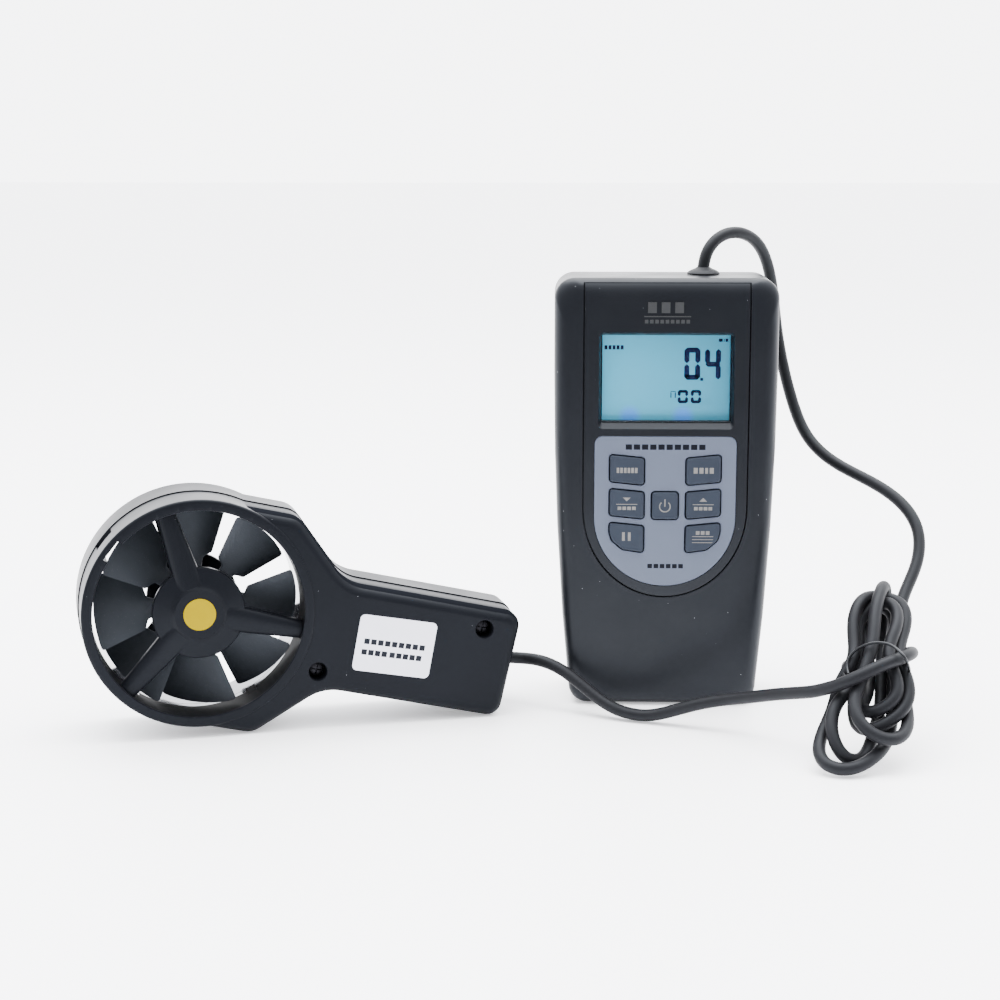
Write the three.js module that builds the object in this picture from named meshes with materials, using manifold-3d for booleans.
// A hand-held vane anemometer in two pieces: a meter that stands on its base, and a vane probe
// that leans on its edge beside it, joined by one cable whose spare length is tied in a hank.
//
// World frame: millimetres, +Z up, origin at the centre of the meter's base, display facing -Y.
// Each unit is drawn in a front view of its own: x to the right, y up, z towards the reader.

import * as THREE from 'three';
import { mergeVertices } from 'three/addons/utils/BufferGeometryUtils.js';
import Module from 'manifold-3d';

const wasm = await Module();
wasm.setup();

// ---------------------------------------------------------------- driving dimensions

const GAP = 0.3;                  // left between two pieces that touch
const REACH = 400;                // longer than any piece, for cutting tools
const RIGHT_ANGLE = Math.PI / 2;

const METER_HEIGHT = 140;
const METER_HALF_WIDTH = 35.9;
const METER_HALF_DEPTH = 17.5;
const METER_WALL = 2.2;
const METER_EDGE = 3.2;           // rounding between the faces and the sides
const METER_TOP_CORNER = 6.5;
const METER_BASE_CORNER = 6;
const METER_TAPER_START = 110;    // the sides curve inwards below this height
const METER_TAPER_RADIUS = 1060;
const METER_PARTING = -1.5;       // plane where the front and rear shells meet
const FRONT_WALL_INSIDE = 13;     // inner face of the front wall
const BEZEL_FLOOR = 15.3;         // depth of the recess that holds the bezel

const BEZEL_HALF_WIDTH = 26.2;
const BEZEL_CURVE_HEIGHT = 66;    // where the U of the bezel starts to close
const BEZEL_CURVE_DROP = 29;
const PANEL_HALF_WIDTH = 22.8;
const PANEL_TOP = 89.5;
const PANEL_CURVE_HEIGHT = 63.2;
const PANEL_CORNER = 2.6;
const PANEL_FACE = 17.3;
const PANEL_THICKNESS = 0.6;

const WINDOW_HALF_WIDTH = 21.3;
const WINDOW_BOTTOM = 92.2;
const WINDOW_TOP = 122.3;
const SCREEN_HALF_WIDTH = 20.2;
const SCREEN_BOTTOM = 94.6;
const SCREEN_TOP = 121.4;

const KEY_FACE = 18.2;
const KEY_FLANGE_THICKNESS = 0.8;
const KEY_CLEARANCE = 0.4;
const KEY_INNER_X = 6.8;          // edge of a side key next to the middle of the panel
const KEY_OUTER_X = 17.8;
const KEY_ROW_TOPS = [83.4, 72.3, 61.2];
const KEY_SLOPE = 1.1;            // drop of a side key's top edge towards the middle
const KEY_HEIGHT = 8.6;

const BOARD_HALF_WIDTH = 25.5;
const BOARD_BOTTOM = 20;
const BOARD_TOP = 133;
const BOARD_BACK = 6;
const BOARD_THICKNESS = 1.6;

const CASE_SCREW_X = 29;
const CASE_SCREW_HEIGHTS = [11, 129];

const DOOR_HALF_WIDTH = 22.7;
const DOOR_BOTTOM = 20.5;
const DOOR_TOP = 71.5;
const DOOR_THICKNESS = 1.9;
const CELL_RADIUS = 5.25;
const CELL_LENGTH = 44.5;
const CELL_PITCH = 11.2;
const CELL_BOTTOM = 26;
const CELL_CENTRE = -8.2;

const GROMMET_X = 12.5;

const VANE_RADIUS = 36;           // outside of the vane head's ring
const DUCT_RADIUS = 32.6;         // inside of the ring
const PROBE_HALF_DEPTH = 15;
const PROBE_FACE = 14.6;          // the handle's faces lie slightly below the ring's rim
const PROBE_WALL = 2.4;
const PROBE_EDGE = 3;
const SHOULDER_HALF_HEIGHT = 35.1;
const SHOULDER_END = 24.4;
const SHOULDER_CORNER = 7;
const NECK_END = 43.5;
const NECK_FILLET = 14;
const HANDLE_HALF_WIDTH = 17.3;
const HANDLE_END = 102;
const HANDLE_CORNER = 4.6;
const PROBE_SCREWS = [[90.2, 10.8], [40.2, -11.7]];

const GUARD_RADIUS = 14.4;
const GUARD_BOSS_RADIUS = 8;
const GUARD_FACE = 14.6;
const GUARD_BACK = 10.2;
const SPOKE_ANGLES = [0, 120, 240];
const BLADE_COUNT = 8;
const BLADE_PHASE = 13.8;         // angle of the first blade's middle, degrees
const BLADE_HALF_ANGLE = 20.6;
const BLADE_PITCH = THREE.MathUtils.degToRad(31);
const BLADE_THICKNESS = 1;
const BLADE_TIP_RADIUS = 31.6;
const BLADE_TIP_CORNER = 1;
const BLADE_SHOULDER_RADIUS = 17.3;
const ROTOR_HUB_RADIUS = 8.5;
const ROTOR_BORE_RADIUS = 1.1;
const ROTOR_FORWARD = 1.4;        // the wheel runs a little ahead of the ring's middle
const SHAFT_RADIUS = 0.75;
const BEARING_BORE_RADIUS = 0.95;
const BEARING_RADIUS = 1.6;

const PROBE_YAW = THREE.MathUtils.degToRad(15.5);
const PROBE_RIM_X = -144.6;       // middle of the vane head's front rim
const PROBE_RIM_Y = -56.5;

const CABLE_RADIUS = 1.95;
const CABLE_SIDES = 8;

// ---------------------------------------------------------------- solids

// A closed mesh as a solid that can be joined and cut.
function solid(geometry) {
  const bare = geometry.index ? geometry.toNonIndexed() : geometry.clone();
  for (const name of Object.keys(bare.attributes)) {
    if (name !== 'position') bare.deleteAttribute(name);
  }
  const merged = mergeVertices(bare, 1e-4);
  const index = merged.index.array;
  const faces = [];
  for (let i = 0; i < index.length; i += 3) {
    const [a, b, c] = [index[i], index[i + 1], index[i + 2]];
    if (a !== b && b !== c && c !== a) faces.push(a, b, c);
  }
  return new wasm.Manifold(new wasm.Mesh({
    numProp: 3,
    vertProperties: new Float32Array(merged.attributes.position.array),
    triVerts: new Uint32Array(faces),
  }));
}

// A solid as a three.js geometry.
function surface(body) {
  const mesh = body.getMesh();
  const geometry = new THREE.BufferGeometry();
  const points = new Float32Array(mesh.numVert * 3);
  for (let i = 0; i < mesh.numVert; i += 1) {
    for (let axis = 0; axis < 3; axis += 1) {
      points[3 * i + axis] = mesh.vertProperties[mesh.numProp * i + axis];
    }
  }
  geometry.setAttribute('position', new THREE.BufferAttribute(points, 3));
  geometry.setIndex(Array.from(mesh.triVerts));
  geometry.computeVertexNormals();
  return geometry;
}

// An outline drawn out from z = low to z = high, with rounded rims if edge is given.
function prism(shape, low, high, edge = 0, edgeSteps = 3) {
  const geometry = new THREE.ExtrudeGeometry(shape, {
    depth: high - low - 2 * edge,
    bevelEnabled: edge > 0,
    bevelThickness: edge,
    bevelSize: edge,
    bevelOffset: -edge,
    bevelSegments: edgeSteps,
  });
  return solid(geometry.translate(0, 0, low + edge));
}

function block(left, right, bottom, top, low, high) {
  const box = new THREE.BoxGeometry(right - left, top - bottom, high - low);
  return solid(box.translate((left + right) / 2, (bottom + top) / 2, (low + high) / 2));
}

// A round bar along z; tipRadius makes it a cone.
function rod(x, y, low, high, radius, sides = 20, tipRadius = radius) {
  const bar = new THREE.CylinderGeometry(tipRadius, radius, high - low, sides);
  bar.rotateX(RIGHT_ANGLE);
  return solid(bar.translate(x, y, (low + high) / 2));
}

// A turned piece about z, from [radius, z] points that start and end on the axis or close.
function turned(profile, sides = 32) {
  const points = profile.map(([radius, height]) => new THREE.Vector2(radius, height));
  const geometry = new THREE.LatheGeometry(points, sides);
  return solid(geometry.rotateX(RIGHT_ANGLE));
}

// A skin over a row of equal rings of points, closed at both ends by fans.
function loft(rings) {
  const count = rings[0].length;
  const points = rings.flat();
  const faces = [];
  for (let ring = 0; ring + 1 < rings.length; ring += 1) {
    for (let i = 0; i < count; i += 1) {
      const here = ring * count + i;
      const next = ring * count + ((i + 1) % count);
      faces.push(here, next, next + count, here, next + count, here + count);
    }
  }
  const last = (rings.length - 1) * count;
  for (let i = 1; i + 1 < count; i += 1) {
    faces.push(0, i + 1, i, last, last + i, last + i + 1);
  }
  const geometry = new THREE.BufferGeometry().setFromPoints(points);
  geometry.setIndex(faces);
  return solid(geometry);
}

// ---------------------------------------------------------------- outlines

function roundedRect(left, right, bottom, top, radius) {
  return roundedOutline([[left, bottom, radius], [right, bottom, radius],
    [right, top, radius], [left, top, radius]]);
}

// Points along an arc; a small arc gets coarser steps than a large one.
function arcPoints(x, y, radiusX, radiusY, from, to) {
  const step = radiusX < 1.5 ? Math.PI / 4 : radiusX < 10 ? Math.PI / 8 : Math.PI / 16;
  const count = Math.max(1, Math.round(Math.abs(to - from) / step));
  const points = [];
  for (let i = 0; i <= count; i += 1) {
    const angle = from + (to - from) * i / count;
    points.push(new THREE.Vector2(x + radiusX * Math.cos(angle), y + radiusY * Math.sin(angle)));
  }
  return points;
}

// A closed outline through [x, y, corner radius] corners, anticlockwise, grown outwards.
function roundedOutline(corners, grow = 0) {
  const count = corners.length;
  const at = (i) => corners[(i + count) % count];
  const direction = (i) => new THREE.Vector2(at(i + 1)[0] - at(i)[0], at(i + 1)[1] - at(i)[1])
    .normalize();
  const points = [];
  for (let i = 0; i < count; i += 1) {
    const before = direction(i - 1);
    const after = direction(i);
    const turn = Math.sign(before.cross(after));
    const half = Math.acos(THREE.MathUtils.clamp(before.dot(after), -1, 1)) / 2;
    const outwards = new THREE.Vector2(before.y + after.y, -before.x - after.x).normalize();
    const radius = Math.max(at(i)[2] + turn * grow, 0.2);
    const corner = new THREE.Vector2(at(i)[0], at(i)[1])
      .addScaledVector(outwards, grow / Math.cos(half));
    const centre = corner.clone().addScaledVector(outwards, -turn * radius / Math.cos(half));
    const start = corner.clone().addScaledVector(before, -radius * Math.tan(half));
    const from = Math.atan2(start.y - centre.y, start.x - centre.x);
    points.push(...arcPoints(centre.x, centre.y, radius, radius, from, from + 2 * half * turn));
  }
  return new THREE.Shape(points);
}

function circle(radius, sides) {
  const points = [];
  for (let i = 0; i < sides; i += 1) {
    const angle = 2 * Math.PI * i / sides;
    points.push(new THREE.Vector2(radius * Math.cos(angle), radius * Math.sin(angle)));
  }
  return new THREE.Shape(points);
}

// A U: straight sides from the top down to curveHeight, then half an ellipse.
function uOutline(halfWidth, top, curveHeight, drop, corner) {
  return new THREE.Shape([
    ...arcPoints(0, curveHeight, halfWidth, drop, Math.PI, 2 * Math.PI),
    ...arcPoints(halfWidth - corner, top - corner, corner, corner, 0, RIGHT_ANGLE),
    ...arcPoints(corner - halfWidth, top - corner, corner, corner, RIGHT_ANGLE, Math.PI),
  ]);
}

function meterHalfWidthAt(height) {
  const below = Math.max(METER_TAPER_START - height, 0);
  return METER_HALF_WIDTH - METER_TAPER_RADIUS + Math.sqrt(METER_TAPER_RADIUS ** 2 - below ** 2);
}

function meterOutline(inset) {
  const corners = [];
  const side = [0, 30, 60, 85, METER_TAPER_START, METER_HEIGHT];
  side.forEach((height, i) => {
    const isBase = i === 0;
    const isTop = i === side.length - 1;
    const radius = isBase ? METER_BASE_CORNER : isTop ? METER_TOP_CORNER : 60;
    corners.push([meterHalfWidthAt(height), height, radius]);
  });
  const mirrored = corners.map(([x, y, radius]) => [-x, y, radius]).reverse();
  return roundedOutline([...corners, ...mirrored], -inset);
}

// The probe's shoulders, neck and handle, without the ring.
function probeOutline(inset) {
  const upper = [
    [HANDLE_END, HANDLE_HALF_WIDTH, HANDLE_CORNER],
    [NECK_END, HANDLE_HALF_WIDTH, NECK_FILLET],
    [SHOULDER_END, SHOULDER_HALF_HEIGHT, SHOULDER_CORNER],
    [0, SHOULDER_HALF_HEIGHT, 5],
  ];
  const lower = upper.map(([x, y, radius]) => [x, -y, radius]).reverse();
  return roundedOutline([...upper, ...lower], -inset);
}

// ---------------------------------------------------------------- keys

function sideKeyCorners(rowTop, isLowest) {
  const inner = rowTop - KEY_SLOPE;
  const corners = [
    [KEY_OUTER_X, rowTop, 0.9],
    [KEY_INNER_X, inner, 0.9],
    [KEY_INNER_X, inner - KEY_HEIGHT, 0.9],
  ];
  if (isLowest) {
    corners.push([KEY_OUTER_X - 4.2, inner - KEY_HEIGHT + 1, 2]);
    corners.push([KEY_OUTER_X - 0.8, rowTop - KEY_HEIGHT + 2.8, 2]);
    corners.push([KEY_OUTER_X, rowTop - 3.1, 2]);
  } else {
    corners.push([KEY_OUTER_X, rowTop - KEY_HEIGHT, 0.9]);
  }
  return corners;
}

const mirrorCorners = (corners) => corners.map(([x, y, radius]) => [-x, y, radius]).reverse();

const KEYS = {
  key_unit: sideKeyCorners(KEY_ROW_TOPS[0], false),
  key_up: sideKeyCorners(KEY_ROW_TOPS[1], false),
  key_menu: sideKeyCorners(KEY_ROW_TOPS[2], true),
  key_mode: mirrorCorners(sideKeyCorners(KEY_ROW_TOPS[0], false)),
  key_down: mirrorCorners(sideKeyCorners(KEY_ROW_TOPS[1], false)),
  key_hold: mirrorCorners(sideKeyCorners(KEY_ROW_TOPS[2], true)),
  key_power: [[-4.2, 62.5, 1], [4.2, 62.5, 1], [4.2, 71.3, 1], [-4.2, 71.3, 1]],
};

function keySolid(corners) {
  const cap = prism(roundedOutline(corners), FRONT_WALL_INSIDE - GAP - 0.1, KEY_FACE, 0.35, 1);
  const flangeTop = FRONT_WALL_INSIDE - GAP;
  const flange = prism(roundedOutline(corners, 0.9), flangeTop - KEY_FLANGE_THICKNESS, flangeTop);
  return cap.add(flange);
}

// Cuts a hole for every key through whatever lies between two depths.
function cutKeyHoles(body, low, high) {
  let cut = body;
  for (const corners of Object.values(KEYS)) {
    const hole = roundedOutline(corners, KEY_CLEARANCE);
    cut = cut.subtract(prism(hole, low, high));
  }
  return cut;
}

function keyCentre(corners) {
  const x = corners.reduce((sum, corner) => sum + corner[0], 0) / corners.length;
  const y = corners.reduce((sum, corner) => sum + corner[1], 0) / corners.length;
  return [x, y];
}

// ---------------------------------------------------------------- meter

const meterBody = prism(meterOutline(0), -METER_HALF_DEPTH, METER_HALF_DEPTH, METER_EDGE);
const meterCavity = prism(meterOutline(METER_WALL), METER_WALL - METER_HALF_DEPTH, FRONT_WALL_INSIDE, 1.2, 1);
const bezelShape = (grow) => uOutline(
  BEZEL_HALF_WIDTH + grow, REACH, BEZEL_CURVE_HEIGHT, BEZEL_CURVE_DROP + grow, 1);
const panelShape = (grow) => uOutline(
  PANEL_HALF_WIDTH + grow, PANEL_TOP + grow, PANEL_CURVE_HEIGHT, PANEL_HALF_WIDTH + grow, PANEL_CORNER);
const windowShape = (grow) => roundedRect(
  -WINDOW_HALF_WIDTH - grow, WINDOW_HALF_WIDTH + grow, WINDOW_BOTTOM - grow, WINDOW_TOP + grow, 1.4);
const behindParting = block(-REACH, REACH, -REACH, REACH, -REACH, METER_PARTING - GAP);
const beforeParting = block(-REACH, REACH, -REACH, REACH, METER_PARTING, REACH);
const grommetHole = turned([[0, -10], [3.7, -10], [3.7, 10], [0, 10]], 20)
  .rotate([90, 0, 0])
  .translate([GROMMET_X, METER_HEIGHT, METER_PARTING]);

function caseScrewPlaces() {
  const places = [];
  for (const height of CASE_SCREW_HEIGHTS) {
    const reach = height < METER_TAPER_START / 2 ? CASE_SCREW_X - 4.4 : CASE_SCREW_X;
    places.push([-reach, height], [reach, height]);
  }
  return places;
}

function meterFrontShell() {
  let shell = meterBody.subtract(meterCavity).intersect(beforeParting);
  for (const [x, y] of caseScrewPlaces()) {
    shell = shell.add(rod(x, y, METER_PARTING, FRONT_WALL_INSIDE + 1, 2.9, 16));
    shell = shell.subtract(rod(x, y, -REACH, FRONT_WALL_INSIDE - 2, 1.5, 12));
  }
  shell = shell.subtract(prism(bezelShape(0.4), BEZEL_FLOOR, REACH));
  shell = shell.subtract(prism(
    roundedRect(-SCREEN_HALF_WIDTH, SCREEN_HALF_WIDTH, SCREEN_BOTTOM, SCREEN_TOP, 1), 0, REACH));
  return cutKeyHoles(shell, 8, REACH).subtract(grommetHole);
}

function frontBezel() {
  let bezel = meterBody.intersect(prism(bezelShape(0), BEZEL_FLOOR + GAP, REACH));
  bezel = bezel.subtract(prism(windowShape(0.4), 0, REACH));
  bezel = bezel.subtract(prism(panelShape(0.3), PANEL_FACE - PANEL_THICKNESS - GAP, REACH));
  return cutKeyHoles(bezel, 0, REACH);
}

function keypadPanel() {
  return cutKeyHoles(prism(panelShape(0), PANEL_FACE - PANEL_THICKNESS, PANEL_FACE), 0, REACH);
}

function keypadMat() {
  let mat = prism(roundedRect(-19, 19, 50, 84.5, 2), 7.9, 8.9);
  for (const corners of Object.values(KEYS)) {
    const [x, y] = keyCentre(corners);
    mat = mat.add(rod(x, y, 8.5, 10.8, 3.4, 12, 2));
  }
  return mat;
}

function batteryTray() {
  const left = -25.3;
  const floor = block(left, -left, 17.6, 74, -2.2, -0.9);
  const walls = block(left, -left, 17.6, 74, METER_WALL - METER_HALF_DEPTH - 0.2, -0.9);
  const bay = block(left + 1.5, -left - 1.5, 19.1, 72.5, -REACH, -2.2);
  return walls.add(floor).subtract(bay);
}

function meterRearShell() {
  const innerFace = METER_WALL - METER_HALF_DEPTH;
  let shell = meterBody.subtract(meterCavity).intersect(behindParting);
  for (const [x, y] of caseScrewPlaces()) {
    shell = shell.add(rod(x, y, innerFace - 1, METER_PARTING - GAP, 3.9, 16));
  }
  for (const [x, y] of caseScrewPlaces()) {
    shell = shell.subtract(rod(x, y, -REACH, -12.4, 2.9, 16));
    shell = shell.subtract(rod(x, y, -REACH, REACH, 1.6, 12));
  }
  shell = shell.add(batteryTray());
  const opening = roundedRect(-DOOR_HALF_WIDTH - 0.5, DOOR_HALF_WIDTH + 0.5,
    DOOR_BOTTOM - 0.9, DOOR_TOP + 0.5, 2);
  shell = shell.subtract(prism(opening, -REACH, innerFace + 0.2));
  return shell.subtract(grommetHole);
}

function batteryDoor() {
  const outline = roundedRect(-DOOR_HALF_WIDTH, DOOR_HALF_WIDTH, DOOR_BOTTOM, DOOR_TOP, 2);
  let door = prism(outline, -METER_HALF_DEPTH, DOOR_THICKNESS - METER_HALF_DEPTH);
  for (const height of [62, 64.5, 67]) {
    door = door.subtract(block(-7, 7, height, height + 1.2, -REACH, 0.5 - METER_HALF_DEPTH));
  }
  return door;
}

function batteryCell(x) {
  const can = rod(0, 0, 0, CELL_LENGTH - 1, CELL_RADIUS, 20);
  const nub = rod(0, 0, CELL_LENGTH - 1.5, CELL_LENGTH, 1.9, 12);
  return can.add(nub).rotate([-90, 0, 0]).translate([x, CELL_BOTTOM, CELL_CENTRE]);
}

function springPlate() {
  let plate = block(-22.5, 22.5, 19.6, 20.1, -13.4, -3.4);
  for (let i = -1.5; i <= 1.5; i += 1) {
    const spring = rod(0, 0, 0, CELL_BOTTOM - 20.1 - GAP + 0.2, 4.2, 12, 1.8)
      .rotate([-90, 0, 0])
      .translate([i * CELL_PITCH, 19.9, CELL_CENTRE]);
    plate = plate.add(spring);
  }
  return plate;
}

function cableGrommet() {
  return turned([[0, -3.9], [5, -3.9], [5, -2.5], [3.4, -2.5], [3.4, 0.3], [5.2, 0.3],
    [5.2, 0.9], [4.3, 1.7], [2.9, 2.2], [0, 2.2]], 24)
    .rotate([-90, 0, 0])
    .translate([GROMMET_X, METER_HEIGHT, METER_PARTING]);
}

function caseScrew(x, y) {
  return rod(x, y, -14.4, -12.7, 2.5, 16).add(rod(x, y, -12.8, 6, 1.15, 10));
}

// ---------------------------------------------------------------- probe

const probePlate = prism(probeOutline(0), -PROBE_FACE, PROBE_FACE, PROBE_EDGE);
const probeRing = prism(circle(VANE_RADIUS, 64), -PROBE_HALF_DEPTH, PROBE_HALF_DEPTH, 0.8, 1);
const duct = rod(0, 0, -REACH, REACH, DUCT_RADIUS, 64);
const ductWall = rod(0, 0, -REACH, REACH, DUCT_RADIUS + PROBE_WALL, 64);
const probeCavity = prism(probeOutline(PROBE_WALL), PROBE_WALL - PROBE_FACE, PROBE_FACE - PROBE_WALL)
  .subtract(ductWall);
const glandHole = turned([[0, -8], [3.1, -8], [3.1, 8], [0, 8]], 16)
  .rotate([0, 90, 0])
  .translate([HANDLE_END, 0, 0]);

// A spoke of a guard: a half-round bar that falls back as it runs out to the ring.
function spoke(angle, grow) {
  const section = (radius, halfWidth, top, bottom) => {
    const ring = [];
    const steps = 7;
    for (let i = 0; i <= steps; i += 1) {
      const t = Math.PI * i / steps;
      ring.push(new THREE.Vector3(radius, (halfWidth + grow) * Math.cos(t),
        bottom - grow + (top - bottom + 2 * grow) * Math.sin(t)));
    }
    return ring;
  };
  const bar = loft([
    section(3.1, 4.2, GUARD_FACE - 0.5, GUARD_BACK + 0.7),
    section(GUARD_RADIUS - 0.7, 3.9, GUARD_FACE - 1.2, GUARD_BACK + 0.3),
    section(DUCT_RADIUS + 0.9 + grow, 3, GUARD_FACE - 1.8, GUARD_BACK - 0.7),
  ]);
  return bar.rotate([0, 0, angle]);
}

// The boss, disc and spokes that carry a bearing; the front of it faces +z.
function guard() {
  let body = turned([[0, GUARD_BACK], [GUARD_RADIUS, GUARD_BACK], [GUARD_RADIUS, 12], [13.8, 12.5],
    [GUARD_BOSS_RADIUS + 0.5, 13.6], [GUARD_BOSS_RADIUS, 14.2], [GUARD_BOSS_RADIUS - 0.6, GUARD_FACE],
    [0, GUARD_FACE]], 28);
  for (const angle of SPOKE_ANGLES) body = body.add(spoke(angle, 0));
  return body.subtract(rod(0, 0, 0, 13, BEARING_RADIUS + GAP, 16));
}

function spokePockets() {
  return SPOKE_ANGLES.map((angle) => spoke(angle, GAP)).reduce((all, one) => all.add(one));
}

// A slot through the ring's wall, from one depth to another.
function ringSlot(angle, halfWidth, low, high) {
  return block(DUCT_RADIUS - 2, VANE_RADIUS + 2, -halfWidth, halfWidth, low, high)
    .rotate([0, 0, angle]);
}

// A notch in the inner face of the ring's wall that stops short of the outside.
function wallNotch(angle, halfWidth, low, high) {
  return block(DUCT_RADIUS - 2, DUCT_RADIUS + 1.3, -halfWidth, halfWidth, low, high)
    .rotate([0, 0, angle]);
}

function probeShell() {
  return probePlate.add(probeRing).subtract(duct).subtract(probeCavity);
}

function probeFrontShell() {
  let shell = probeShell().intersect(block(-REACH, REACH, -REACH, REACH, GAP / 2, REACH));
  for (const [x, y] of PROBE_SCREWS) {
    shell = shell.add(rod(x, y, GAP / 2, PROBE_FACE - 1, 4.2, 16));
    shell = shell.subtract(rod(x, y, 9.4, REACH, 2.9, 20));
    shell = shell.subtract(rod(x, y, -REACH, REACH, 1.5, 12));
  }
  shell = shell.subtract(spokePockets());
  shell = shell.subtract(ringSlot(154, 3.6, 0, 2.2));
  for (const angle of [-46, -4, 62, 106, 198, 246]) {
    shell = shell.subtract(wallNotch(angle, 1.6, 0, 6));
  }
  return shell.subtract(glandHole);
}

function probeRearShell() {
  let shell = probeShell().intersect(block(-REACH, REACH, -REACH, REACH, -REACH, -GAP / 2));
  for (const [x, y] of PROBE_SCREWS) {
    shell = shell.add(rod(x, y, 1 - PROBE_FACE, -GAP / 2, 3.4, 16));
    shell = shell.subtract(rod(x, y, -10, REACH, 1.4, 12));
  }
  const pickupHole = rod(0, 0, DUCT_RADIUS - 3, DUCT_RADIUS + 4, 2, 12)
    .rotate([0, 90, 0])
    .translate([0, 0, -4]);
  shell = shell.subtract(spokePockets().rotate([180, 0, 0])).subtract(pickupHole);
  return shell.subtract(glandHole);
}

// Half the angle that a blade covers at a radius: a narrow root, and rounded outer corners.
function bladeHalfAngle(radius) {
  if (radius < BLADE_SHOULDER_RADIUS) {
    const t = THREE.MathUtils.smoothstep(radius, BLADE_SHOULDER_RADIUS - 2.4, BLADE_SHOULDER_RADIUS);
    return THREE.MathUtils.lerp(BLADE_HALF_ANGLE * 0.55, BLADE_HALF_ANGLE, t);
  }
  const past = Math.max(radius - (BLADE_TIP_RADIUS - BLADE_TIP_CORNER), 0);
  const cut = BLADE_TIP_CORNER - Math.sqrt(Math.max(BLADE_TIP_CORNER ** 2 - past ** 2, 0));
  return BLADE_HALF_ANGLE - THREE.MathUtils.radToDeg(cut / radius);
}

// One blade: a flat sheet whose clockwise edge lies further back.
function blade(middle) {
  const steps = 4;
  const radii = [ROTOR_HUB_RADIUS - 1.2, BLADE_SHOULDER_RADIUS - 2.4, BLADE_SHOULDER_RADIUS, 23, 28,
    BLADE_TIP_RADIUS - BLADE_TIP_CORNER, BLADE_TIP_RADIUS - 0.3, BLADE_TIP_RADIUS];
  const rings = radii.map((radius) => {
    const half = bladeHalfAngle(radius);
    const ring = [];
    const edge = (sign) => {
      for (let i = 0; i <= steps; i += 1) {
        const t = sign > 0 ? i / steps : 1 - i / steps;
        const turn = THREE.MathUtils.degToRad(THREE.MathUtils.lerp(-half, half, t));
        const angle = THREE.MathUtils.degToRad(middle) + turn;
        const depth = radius * Math.sin(turn) * Math.tan(BLADE_PITCH);
        ring.push(new THREE.Vector3(radius * Math.cos(angle), radius * Math.sin(angle),
          depth - sign * BLADE_THICKNESS / 2));
      }
    };
    edge(1);
    edge(-1);
    return ring;
  });
  return loft(rings);
}

function rotor() {
  let wheel = rod(0, 0, -6, 6, ROTOR_HUB_RADIUS, 32);
  for (let i = 0; i < BLADE_COUNT; i += 1) {
    wheel = wheel.add(blade(BLADE_PHASE + i * 360 / BLADE_COUNT));
  }
  return wheel.subtract(rod(0, 0, -REACH, REACH, ROTOR_BORE_RADIUS, 16))
    .translate([0, 0, ROTOR_FORWARD]);
}

function bearing() {
  return turned([[BEARING_BORE_RADIUS, GUARD_BACK + 0.2], [BEARING_RADIUS, GUARD_BACK + 0.2],
    [BEARING_RADIUS, 12.6], [BEARING_BORE_RADIUS, 12.6], [BEARING_BORE_RADIUS, GUARD_BACK + 0.2]], 20);
}

function probeScrew(x, y) {
  return rod(x, y, 9.7, 11.3, 2.5, 16).add(rod(x, y, -8, 9.8, 1.1, 10));
}

function cableGland() {
  return turned([[0, -4.6], [4.2, -4.6], [4.2, -2.8], [2.8, -2.8], [2.8, 0.3], [3.6, 0.3],
    [3.2, 2], [0, 2]], 20)
    .rotate([0, 90, 0])
    .translate([HANDLE_END, 0, 0]);
}

// ---------------------------------------------------------------- cable

// From the grommet on top of the meter, down behind its corner, then forward into the hank.
const METER_CABLE = [
  [12.5, 1.5, 142.8], [12.9, 1.9, 146], [14.8, 3.2, 149.6], [18.4, 5.6, 152.6], [23.5, 9, 153.7],
  [29, 13.4, 151.8], [33.1, 17.5, 147.5], [36, 21.4, 140.4], [37.9, 25, 131.4],
  [39.2, 27.2, 121.5], [40.7, 26, 112.3], [43.1, 23, 101.2], [46.6, 19, 89.5], [50.2, 14.5, 83],
  [55.5, 9.5, 78.2], [61.7, 4, 75.1], [68, -1.5, 72.6], [73.8, -7, 69.7], [78.8, -12.5, 65.6],
  [81.8, -18, 59.9], [81.4, -23, 53.6], [79.3, -27.5, 48.6], [76.3, -31.5, 44], [73.9, -35.5, 40],
  [72.3, -40, 36.1], [69.5, -44.5, 31], [63.9, -52.6, 25],
];

// From the end of the probe's handle, down to the floor and up again to the hank.
const PROBE_CABLE = [
  [-50.5, -14.8, 15.3], [-46.4, -14, 14.9], [-41.9, -16, 15.2], [-36.6, -19.2, 14.5],
  [-31.4, -23, 12.6], [-26, -26.6, 9], [-20.7, -30, 5.4], [-15.4, -33, 3], [-10.2, -35, 2.2],
  [-6.7, -36, 2.1], [-2.5, -37.2, 2.8], [2.9, -39.4, 5], [10.6, -42.2, 8.2], [18, -44.6, 10.2],
  [25.7, -47.4, 11.7], [34.4, -52, 14.4], [42, -58.2, 18.2], [47.2, -63.6, 20.5],
];

const HANK_PLACE = [54.8, -87, 3.1];
const HANK_LEAN = THREE.MathUtils.degToRad(45);
const HANK_ROLL = THREE.MathUtils.degToRad(11);
const HANK_LENGTH = 61;
const HANK_FOOT_RADIUS = 14;
const HANK_HEAD_RADIUS = 9.5;
const HANK_HALF_THICKNESS = 6.5;
const TIE_HEIGHT = 37;

function tube(points, radius, steps) {
  const path = new THREE.CatmullRomCurve3(points.map((point) => new THREE.Vector3(...point)),
    false, 'centripetal');
  const geometry = new THREE.ExtrudeGeometry(circle(radius, CABLE_SIDES), { steps, extrudePath: path });
  return solid(geometry);
}

// Half the hank's width at a height along it: round at the foot and the head, straight between.
function hankHalfWidthAt(height) {
  const span = HANK_LENGTH - HANK_FOOT_RADIUS - HANK_HEAD_RADIUS;
  const t = (height - HANK_FOOT_RADIUS) / span;
  return THREE.MathUtils.lerp(HANK_FOOT_RADIUS, HANK_HEAD_RADIUS, t);
}

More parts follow.
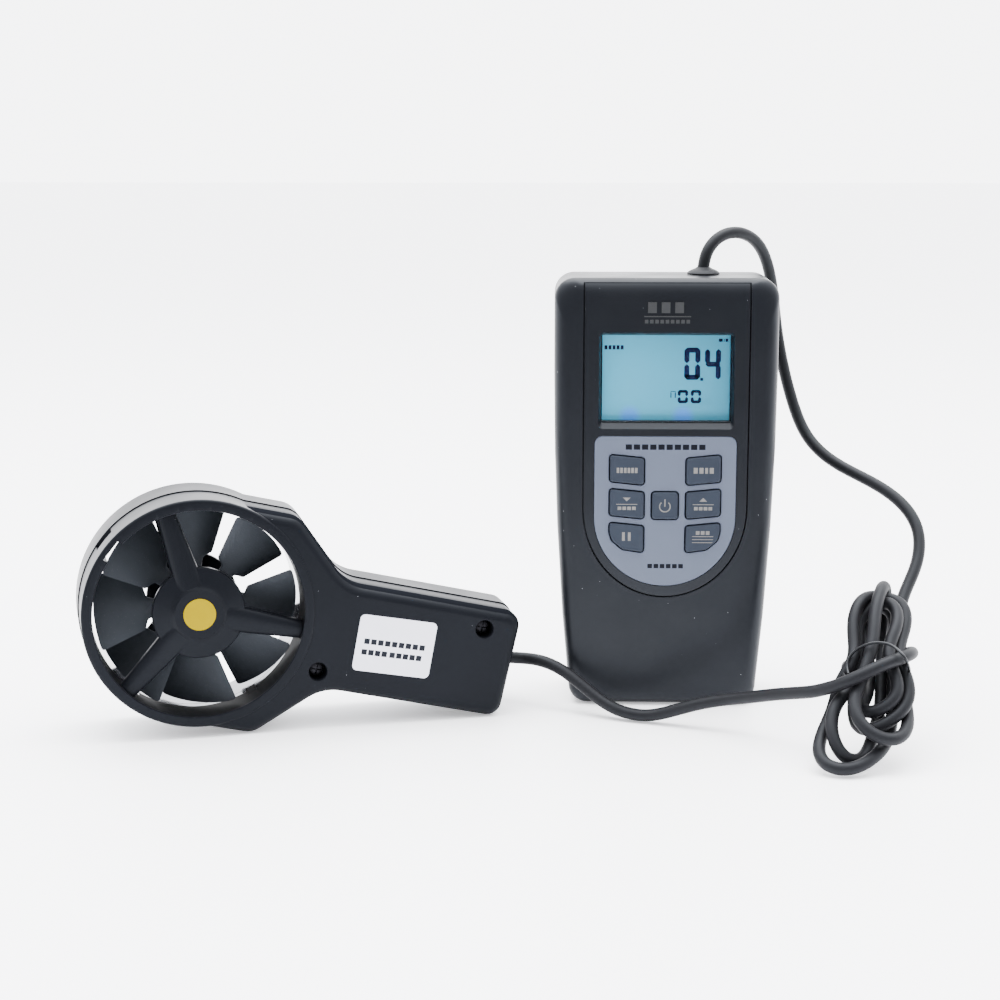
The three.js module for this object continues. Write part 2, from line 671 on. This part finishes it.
function hank() {
  const head = HANK_HEAD_RADIUS;
  const foot = HANK_FOOT_RADIUS;
  const outline = new THREE.Shape([
    ...arcPoints(0, foot, foot, foot, Math.PI, 2 * Math.PI),
    ...arcPoints(0, HANK_LENGTH - head, head, head, 0, Math.PI),
  ]);
  return prism(outline, -HANK_HALF_THICKNESS, HANK_HALF_THICKNESS, 2.5, 1);
}

function hankTie() {
  const reach = hankHalfWidthAt(TIE_HEIGHT) + 0.7;
  const deep = HANK_HALF_THICKNESS + 0.4;
  const outer = roundedRect(-reach - 0.8, reach + 0.8, -deep - 0.8, deep + 0.8, 3);
  const inner = roundedRect(-reach, reach, -deep, deep, 0.6);
  return prism(outer, -0.8, 0.8).subtract(prism(inner, -REACH, REACH))
    .rotate([90, 0, 0])
    .translate([0, TIE_HEIGHT, 0]);
}

// ---------------------------------------------------------------- assembly

const plastic = (color, roughness = 0.55) => new THREE.MeshStandardMaterial({ color, roughness });
const metal = (color, roughness = 0.3) => new THREE.MeshStandardMaterial({ color, roughness, metalness: 1 });
const CASE = plastic(0x34373d);
const BEZEL = plastic(0x2c2f35, 0.4);
const PANEL = plastic(0x979eaf, 0.5);
const KEY = plastic(0x6a727e, 0.6);
const RUBBER = plastic(0x2b2c30, 0.7);
const BOARD = plastic(0x1f5b39, 0.5);
const STEEL = metal(0xb9bcc0);

function place(group, name, body, material) {
  const mesh = new THREE.Mesh(surface(body), material);
  mesh.name = name;
  group.add(mesh);
}

function buildMeter() {
  const meter = new THREE.Group();
  meter.rotation.x = RIGHT_ANGLE;
  place(meter, 'meter_front_shell', meterFrontShell(), CASE);
  place(meter, 'meter_rear_shell', meterRearShell(), CASE);
  place(meter, 'front_bezel', frontBezel(), BEZEL);
  place(meter, 'display_window', prism(windowShape(0), BEZEL_FLOOR + GAP, 16.8),
    new THREE.MeshStandardMaterial({ color: 0x8fb6c4, roughness: 0.1, transparent: true, opacity: 0.35 }));
  place(meter, 'display_glass', block(-22.6, 22.6, 92.6, 124.5, 10.5, FRONT_WALL_INSIDE - GAP),
    plastic(0x8fbecb, 0.2));
  place(meter, 'display_backlight', block(-22, 22, 93, 124, 7.9, 10.2), plastic(0xd8ecf2, 0.5));
  place(meter, 'keypad_panel', keypadPanel(), PANEL);
  for (const [name, corners] of Object.entries(KEYS)) place(meter, name, keySolid(corners), KEY);
  place(meter, 'keypad_mat', keypadMat(), plastic(0x8b8f94, 0.8));
  place(meter, 'circuit_board', block(-BOARD_HALF_WIDTH, BOARD_HALF_WIDTH, BOARD_BOTTOM, BOARD_TOP,
    BOARD_BACK, BOARD_BACK + BOARD_THICKNESS), BOARD);
  place(meter, 'main_chip', block(2, 14, 88, 100, 4.2, BOARD_BACK - GAP), plastic(0x18181a, 0.4));
  place(meter, 'buzzer', rod(-12, 104, 2.6, BOARD_BACK - GAP, 7, 24), plastic(0x151517, 0.5));
  place(meter, 'cable_connector', block(8, 17, 125, 131, 1.2, BOARD_BACK - GAP), plastic(0xe4e0d6, 0.5));
  for (let i = 0; i < 4; i += 1) {
    place(meter, `battery_cell_${i + 1}`, batteryCell((i - 1.5) * CELL_PITCH), metal(0x3f6f9c));
  }
  place(meter, 'battery_springs', springPlate(), STEEL);
  place(meter, 'battery_contacts', block(-22.5, 22.5, 71.2, 71.7, -13.4, -3.4), STEEL);
  place(meter, 'battery_door', batteryDoor(), CASE);
  caseScrewPlaces().forEach(([x, y], i) => place(meter, `case_screw_${i + 1}`, caseScrew(x, y), STEEL));
  place(meter, 'cable_grommet', cableGrommet(), RUBBER);
  return meter;
}

// The angle at which the probe leans when its lower shoulder and its handle's lower corner
// both touch the floor, and the height of the vane's centre then.
function probeStance() {
  const slope = Math.atan2(SHOULDER_HALF_HEIGHT - HANDLE_HALF_WIDTH, NECK_END - SHOULDER_END);
  const shoulderX = SHOULDER_END - SHOULDER_CORNER * Math.tan(slope / 2);
  const shoulderY = SHOULDER_CORNER - SHOULDER_HALF_HEIGHT;
  const endX = HANDLE_END - HANDLE_CORNER;
  const endY = HANDLE_CORNER - HANDLE_HALF_WIDTH;
  const between = Math.hypot(endX - shoulderX, endY - shoulderY);
  const tilt = Math.atan2(endY - shoulderY, endX - shoulderX)
    + Math.asin((SHOULDER_CORNER - HANDLE_CORNER) / between);
  const height = SHOULDER_CORNER + shoulderX * Math.sin(tilt) - shoulderY * Math.cos(tilt);
  return { tilt, height };
}

function buildProbe() {
  const { tilt, height } = probeStance();
  const yawed = new THREE.Group();
  yawed.rotation.z = PROBE_YAW;
  yawed.position.set(
    PROBE_RIM_X - PROBE_HALF_DEPTH * Math.sin(PROBE_YAW),
    PROBE_RIM_Y + PROBE_HALF_DEPTH * Math.cos(PROBE_YAW),
    height);
  const upright = new THREE.Group();
  upright.rotation.x = RIGHT_ANGLE;
  const probe = new THREE.Group();
  probe.rotation.z = -tilt;
  yawed.add(upright);
  upright.add(probe);

  place(probe, 'probe_front_shell', probeFrontShell(), CASE);
  place(probe, 'probe_rear_shell', probeRearShell(), CASE);
  place(probe, 'front_guard', guard(), CASE);
  place(probe, 'rear_guard', guard().rotate([180, 0, 0]), CASE);
  place(probe, 'rotor', rotor(), plastic(0x1c1d20, 0.6));
  place(probe, 'rotor_shaft', rod(0, 0, -12.4, 12.4, SHAFT_RADIUS, 12), STEEL);
  place(probe, 'front_bearing', bearing(), metal(0xc8a24a));
  place(probe, 'rear_bearing', bearing().rotate([180, 0, 0]), metal(0xc8a24a));
  place(probe, 'hub_sticker', rod(0, 0, GUARD_FACE + 0.15, GUARD_FACE + 0.35, 5, 32), plastic(0xe2cd3c, 0.5));
  place(probe, 'speed_sensor', rod(0, 0, DUCT_RADIUS + 0.2, DUCT_RADIUS + 5, 1.6, 12)
    .rotate([0, 90, 0]).translate([0, 0, -4]), plastic(0x202024, 0.3));
  place(probe, 'sensor_board', block(44, 66, -9, 9, -6, -4.4), BOARD);
  const label = prism(roundedRect(-12.5, 12.5, -9.1, 9.1, 1.6), PROBE_FACE + 0.15, PROBE_FACE + 0.35)
    .rotate([0, 0, 2.6]).translate([62.6, 0.4, 0]);
  place(probe, 'probe_label', label, plastic(0xe9e9f0, 0.4));
  PROBE_SCREWS.forEach(([x, y], i) => place(probe, `probe_screw_${i + 1}`, probeScrew(x, y), STEEL));
  place(probe, 'probe_gland', cableGland(), RUBBER);
  return yawed;
}

function buildCable() {
  const cable = new THREE.Group();
  place(cable, 'cable_meter_run', tube(METER_CABLE, CABLE_RADIUS, 40), RUBBER);
  place(cable, 'cable_probe_run', tube(PROBE_CABLE, CABLE_RADIUS, 22), RUBBER);
  const leaning = new THREE.Group();
  leaning.position.set(...HANK_PLACE);
  leaning.rotation.x = RIGHT_ANGLE - HANK_LEAN;
  const rolled = new THREE.Group();
  rolled.rotation.z = -HANK_ROLL;
  leaning.add(rolled);
  place(rolled, 'cable_hank', hank(), RUBBER);
  place(rolled, 'hank_tie', hankTie(), plastic(0x141416, 0.5));
  cable.add(leaning);
  return cable;
}

const anemometer = new THREE.Group();
anemometer.name = 'vane_anemometer';
anemometer.add(buildMeter(), buildProbe(), buildCable());

export default anemometer;
